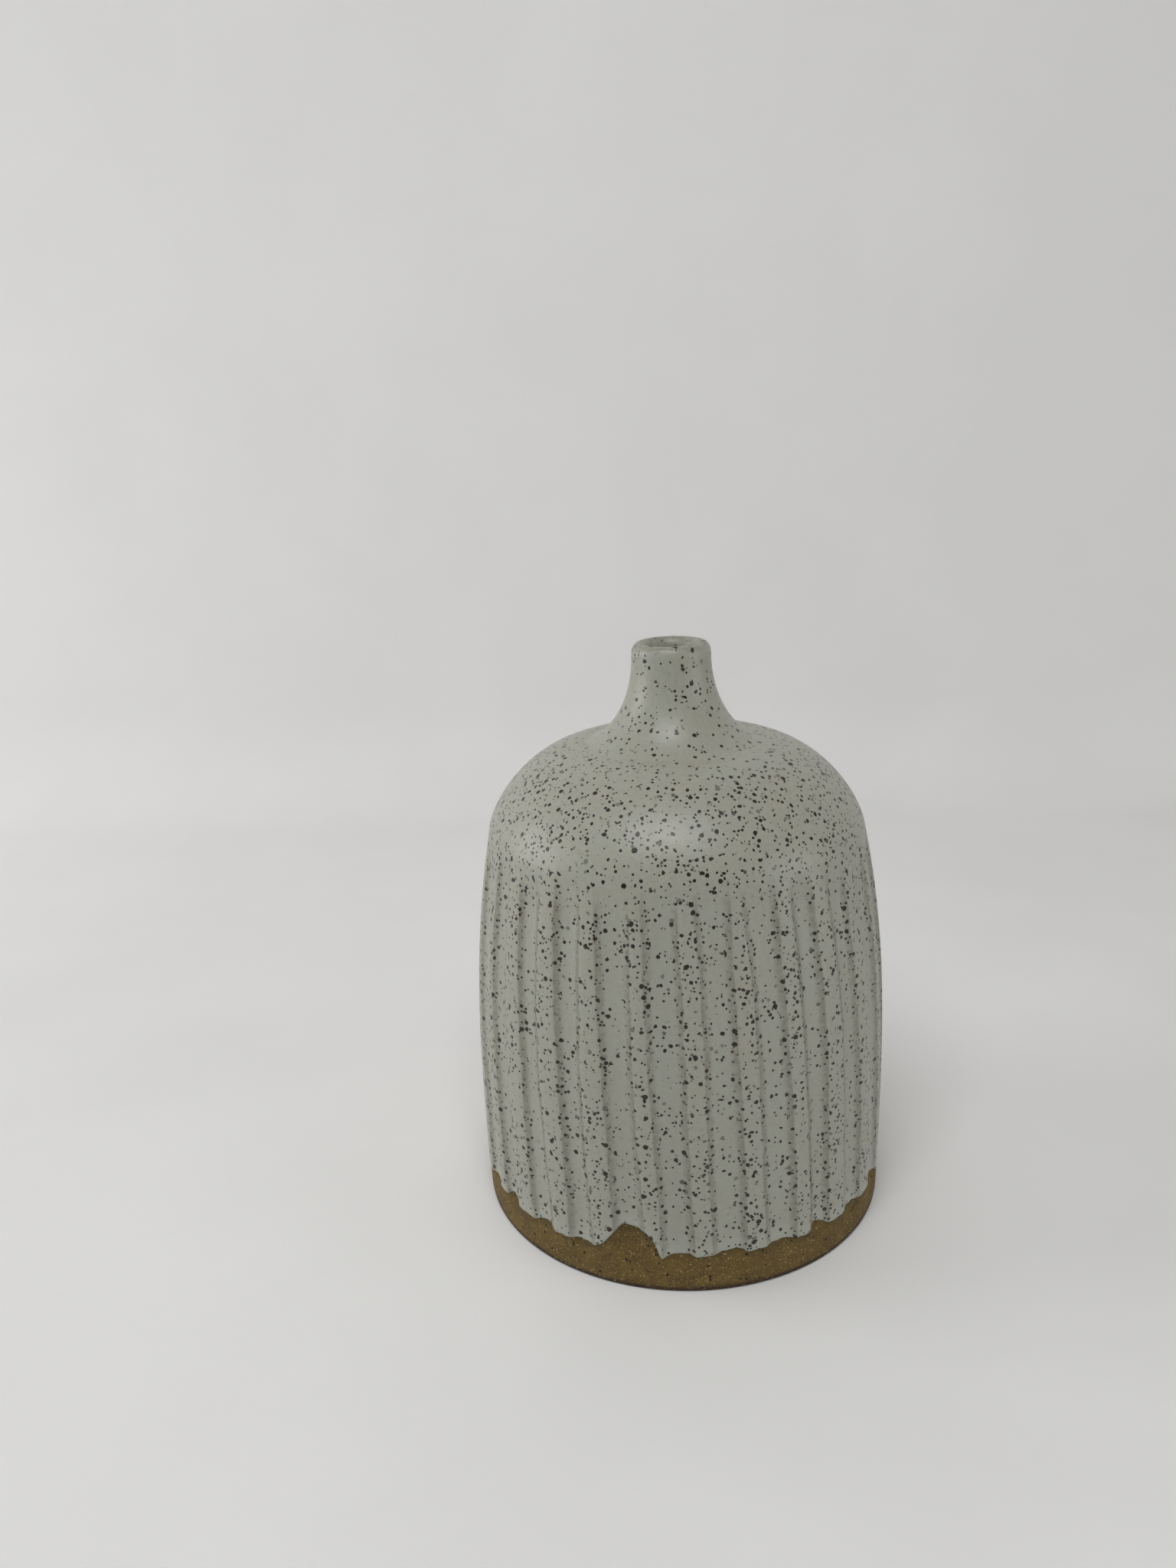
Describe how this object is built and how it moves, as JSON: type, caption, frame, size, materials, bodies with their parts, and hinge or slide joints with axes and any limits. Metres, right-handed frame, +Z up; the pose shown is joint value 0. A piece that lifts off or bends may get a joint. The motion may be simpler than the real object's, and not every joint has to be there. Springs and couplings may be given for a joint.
{
  "type": "bud vase",
  "caption": "Fluted stoneware bud vase with a bottle shoulder, a narrow flared-foot neck, a rolled lip, speckled white glaze and a bare clay foot band.",
  "frame": {"origin": "centre of the foot on the surface the vase stands on", "axes": "+Z up along the vase's axis; the glaze's bare notch faces -Y"},
  "size_m": [0.1014, 0.1011, 0.1385],
  "materials": {
    "stoneware_clay": "bare fired sandy tan-brown clay, matte",
    "speckled_glaze": "satin-matte off-white with dark iron speckles",
    "liner_glaze": "satin off-white"
  },
  "bodies": {
    "root": {"stoneware_body": "stoneware_clay", "outer_glaze": "speckled_glaze", "liner_glaze": "liner_glaze"}
  },
  "joints": []
}
